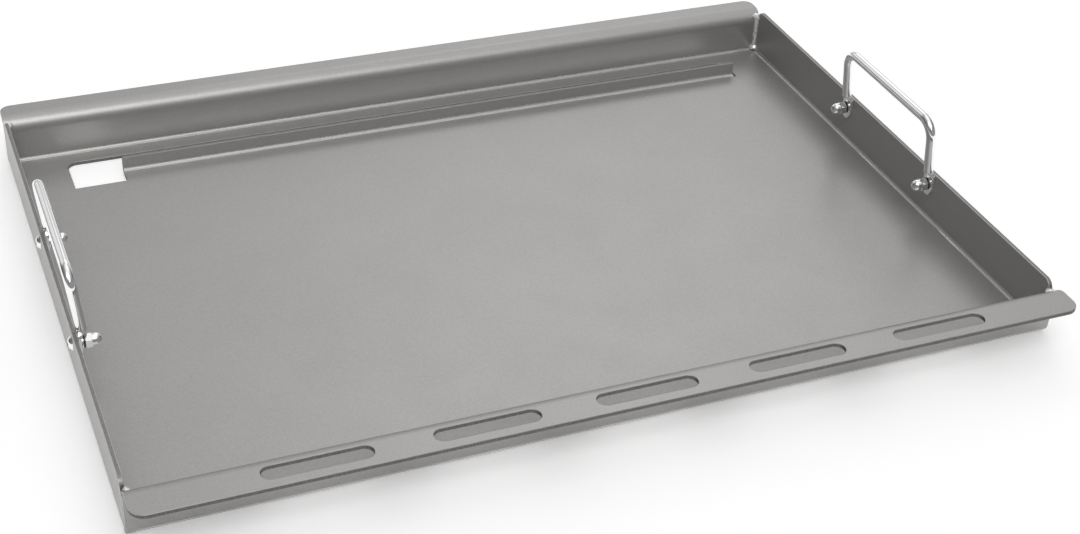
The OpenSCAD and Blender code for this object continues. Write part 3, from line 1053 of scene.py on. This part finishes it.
def bead_reach(z, angle):
    """How far the bead reaches from the corner, at a height and an angle across it."""
    bow = RIPPLE * RIPPLE_BOW * math.cos(2 * (angle - math.pi / 4))
    phase = ((z + bow) % RIPPLE) / RIPPLE
    ripple = 1 - RIPPLE_DEPTH * (1 - math.sin(math.pi * phase))
    drop = sum(swell * math.exp(-((z - middle) / DROP_SPAN) ** 2) for middle, swell in DROPS.items())
    end = min(1, (z - WELD_LOW) / WELD_END, (WELD_TOP - z) / WELD_END)
    rounding = BLUNT_END + (1 - BLUNT_END) * math.sqrt(max(0, end * (2 - end)))
    return (WELD_LEG * ripple + drop) * rounding


def bent_back(z, top):
    """How far a front or rear wall has bent away from the pan at a height."""
    rise = max(0, z - (top - TOP_BEND_OUT))
    return TOP_BEND_OUT - math.sqrt(TOP_BEND_OUT ** 2 - rise ** 2)


def weld_bead(name, side_x, side_y, top):
    """The bead in one corner. The first point of each ring lies in the gap between the walls."""
    bm = bmesh.new()
    rings = []
    for row in range(WELD_ROWS + 1):
        z = WELD_LOW + (WELD_TOP - WELD_LOW) * row / WELD_ROWS
        back = bent_back(z, top)
        ring = [Vector((side_x * (INNER_X + GAP_FILL), side_y * (INNER_Y + back / 2), z))]
        for i in range(WELD_POINTS):
            angle = math.pi / 2 * i / (WELD_POINTS - 1)
            reach = bead_reach(z, angle)
            x = side_x * (INNER_X - reach * math.cos(angle))
            y = side_y * (INNER_Y + back * math.cos(angle) - reach * math.sin(angle))
            ring.append(Vector((x, y, z)))
        rings.append(ring)
    skin_rings(bm, rings)
    make_piece(bm, name + "_bead", [bead_metal], [name])


for side, side_x in SIDES.items():
    for end, side_y, top in (("front", -1, FLANGE_TOP), ("rear", 1, LIP_TOP)):
        weld_bead(f"{side}_{end}_weld", side_x, side_y, top)
print("ripples on a bead:", round((WELD_TOP - WELD_LOW) / RIPPLE))

# %% [markdown]
# ## Floor
# The plate stands on a wide pale floor. A backdrop could be a curved sheet, but from this height
# the camera sees the floor alone. It is a matt, near white surface that glows a little for the
# camera and for reflections. Light Path tells those rays from the ones that carry light to the
# plate, so the floor looks white, lights nothing more than it would, and still keeps the shadow of
# the plate.

# %% Floor
FLOOR_SPAN = 12.0
FLOOR_WHITE = 0.86
FLOOR_UNEVEN = 0.01
FLOOR_CLOUD_SIZE = 400 * MM
FLOOR_DULLNESS = 0.9
FLOOR_SPECULAR = 0.1
FLOOR_GLOW = 0.28


def pale_floor():
    material = bpy.data.materials.new("pale_floor")
    material.use_nodes = True
    tree = material.node_tree
    shader = tree.nodes["Principled BSDF"]
    shader.inputs["Roughness"].default_value = FLOOR_DULLNESS
    shader.inputs["Specular IOR Level"].default_value = FLOOR_SPECULAR
    clouds = grain(tree, FLOOR_CLOUD_SIZE, detail=1)
    shade = spread(tree, clouds, FLOOR_WHITE - FLOOR_UNEVEN, FLOOR_WHITE + FLOOR_UNEVEN)
    tree.links.new(tinted(tree, (1, 1, 1), shade), shader.inputs["Base Color"])
    ray = tree.nodes.new("ShaderNodeLightPath")
    seen = math_node(tree, "ADD", ray.outputs["Is Camera Ray"], ray.outputs["Is Glossy Ray"])
    shader.inputs["Emission Color"].default_value = (1, 1, 1, 1)
    glow = spread(tree, seen, 0, FLOOR_GLOW, start=0, end=1)
    tree.links.new(glow, shader.inputs["Emission Strength"])
    return material


def wide_floor():
    bm = bmesh.new()
    bmesh.ops.create_grid(bm, x_segments=1, y_segments=1, size=FLOOR_SPAN / 2)
    mesh = bpy.data.meshes.new("floor")
    bm.to_mesh(mesh)
    bm.free()
    mesh.materials.append(pale_floor())
    floor = bpy.data.objects.new("floor", mesh)
    bpy.context.scene.collection.objects.link(floor)


wide_floor()
print("floor span, m:", FLOOR_SPAN)

# %% [markdown]
# ## Light tent
# Bare metal shows mostly what it reflects, so a tent round the plate does more for the look than a
# lamp object would. It is written as the world: an even, dim cloth with round patches that glow. A
# soft box above the camera makes the bright streak on the bend of the lip. The ceiling and the rear
# cloth keep the bends from going dark. A small pool behind lights the middle of the plate, and the
# backdrop and the left cloth show in the handles. Dark cloths, which a photographer calls flags,
# stand at the sides. They draw the dark lines without which plating looks like grey paint. The lens
# has a dark opening of its own. Each patch is its middle as a direction, the degrees from there to
# the end of its even core and to its edge, and its strength.

# %% Light tent
TENT_WHITE = 0.27
LAMPS = {
    "soft box": ((-0.17, -0.62, 0.76), 12, 27, 4.3),
    "ceiling": ((0.15, -0.15, 0.98), 14, 45, 0.6),
    "rear cloth": ((0.3, 0.35, 0.88), 10, 35, 0.4),
    "pool": ((0.33, 0.7, 0.633), 0, 16, 1.1),
    "backdrop": ((0.5, 0.86, 0.09), 0, 52, 0.42),
    "left cloth": ((-0.37, 0.77, 0.52), 0, 28, 0.55),
}
FLAGS = {
    "left flag": ((-0.95, 0.28, 0.14), 10, 40, 0.4),
    "right flag": ((0.98, 0.1, 0.17), 0, 20, 0.3),
    "lens opening": ((-0.333, -0.756, 0.5635), 4, 22, 0.1),
}


def toward(tree, direction):
    """How far a ray of light comes from a direction: 1 straight from it, -1 from the far side."""
    place = tree.nodes.new("ShaderNodeTexCoord")
    node = tree.nodes.new("ShaderNodeVectorMath")
    node.operation = "DOT_PRODUCT"
    node.inputs[1].default_value = direction
    tree.links.new(place.outputs["Generated"], node.inputs[0])
    return node.outputs["Value"]


def patch(tree, place, around):
    """A round patch of the tent: a number that goes from around, outside it, to its strength."""
    middle, core, edge, strength = place
    start, end = (math.cos(math.radians(angle)) for angle in (edge, core))
    return spread(tree, toward(tree, middle), around, strength, start=start, end=end)


def light_tent():
    """The world: lamps are added to the even cloth, and flags darken what lies behind them."""
    world = bpy.data.worlds.new("light_tent")
    bpy.context.scene.world = world
    world.use_nodes = True
    tree = world.node_tree
    sky = tree.nodes["Background"]
    sky.inputs["Color"].default_value = (1, 1, 1, 1)
    light = tree.nodes.new("ShaderNodeValue").outputs["Value"]
    light.default_value = TENT_WHITE
    for lamp in LAMPS.values():
        light = math_node(tree, "ADD", light, patch(tree, lamp, 0))
    for flag in FLAGS.values():
        light = math_node(tree, "MULTIPLY", light, patch(tree, flag, 1))
    tree.links.new(light, sky.inputs["Strength"])


light_tent()
print("tent with lamps:", list(LAMPS), "and dark cloths:", list(FLAGS))

# %% [markdown]
# ## Camera
# The camera stands in front, to the left and above, and is tipped a little on its own axis. It is
# written as a photographer would say it: the point on the table that it aims at, the way it looks,
# how steeply, from how far, and its lens.

# %% Camera
AIM = Vector((14.9 * MM, -38.3 * MM, 0))
TURN = math.radians(23.80)
STEEP = math.radians(34.30)
ROLL = math.radians(3.25)
AWAY = 1.418
LENS = 61.16
SENSOR = 36


def aim_camera():
    ahead = Vector((math.sin(TURN), math.cos(TURN), 0))
    forward = ahead * math.cos(STEEP) - Vector((0, 0, math.sin(STEEP)))
    level = Vector((math.cos(TURN), -math.sin(TURN), 0))
    above = level.cross(forward)
    right = level * math.cos(ROLL) + above * math.sin(ROLL)
    up = right.cross(forward)
    data = bpy.data.cameras.new("camera")
    data.lens = LENS
    data.sensor_fit = "HORIZONTAL"
    data.sensor_width = SENSOR
    camera = bpy.data.objects.new("camera", data)
    axes = Matrix((right, up, -forward)).transposed().to_4x4()
    camera.matrix_world = Matrix.Translation(AIM - forward * AWAY) @ axes
    bpy.context.scene.collection.objects.link(camera)
    bpy.context.scene.camera = camera


aim_camera()
bpy.context.scene.view_settings.view_transform = "Standard"
print("camera at, m:", [round(value, 3) for value in bpy.context.scene.camera.matrix_world.translation])
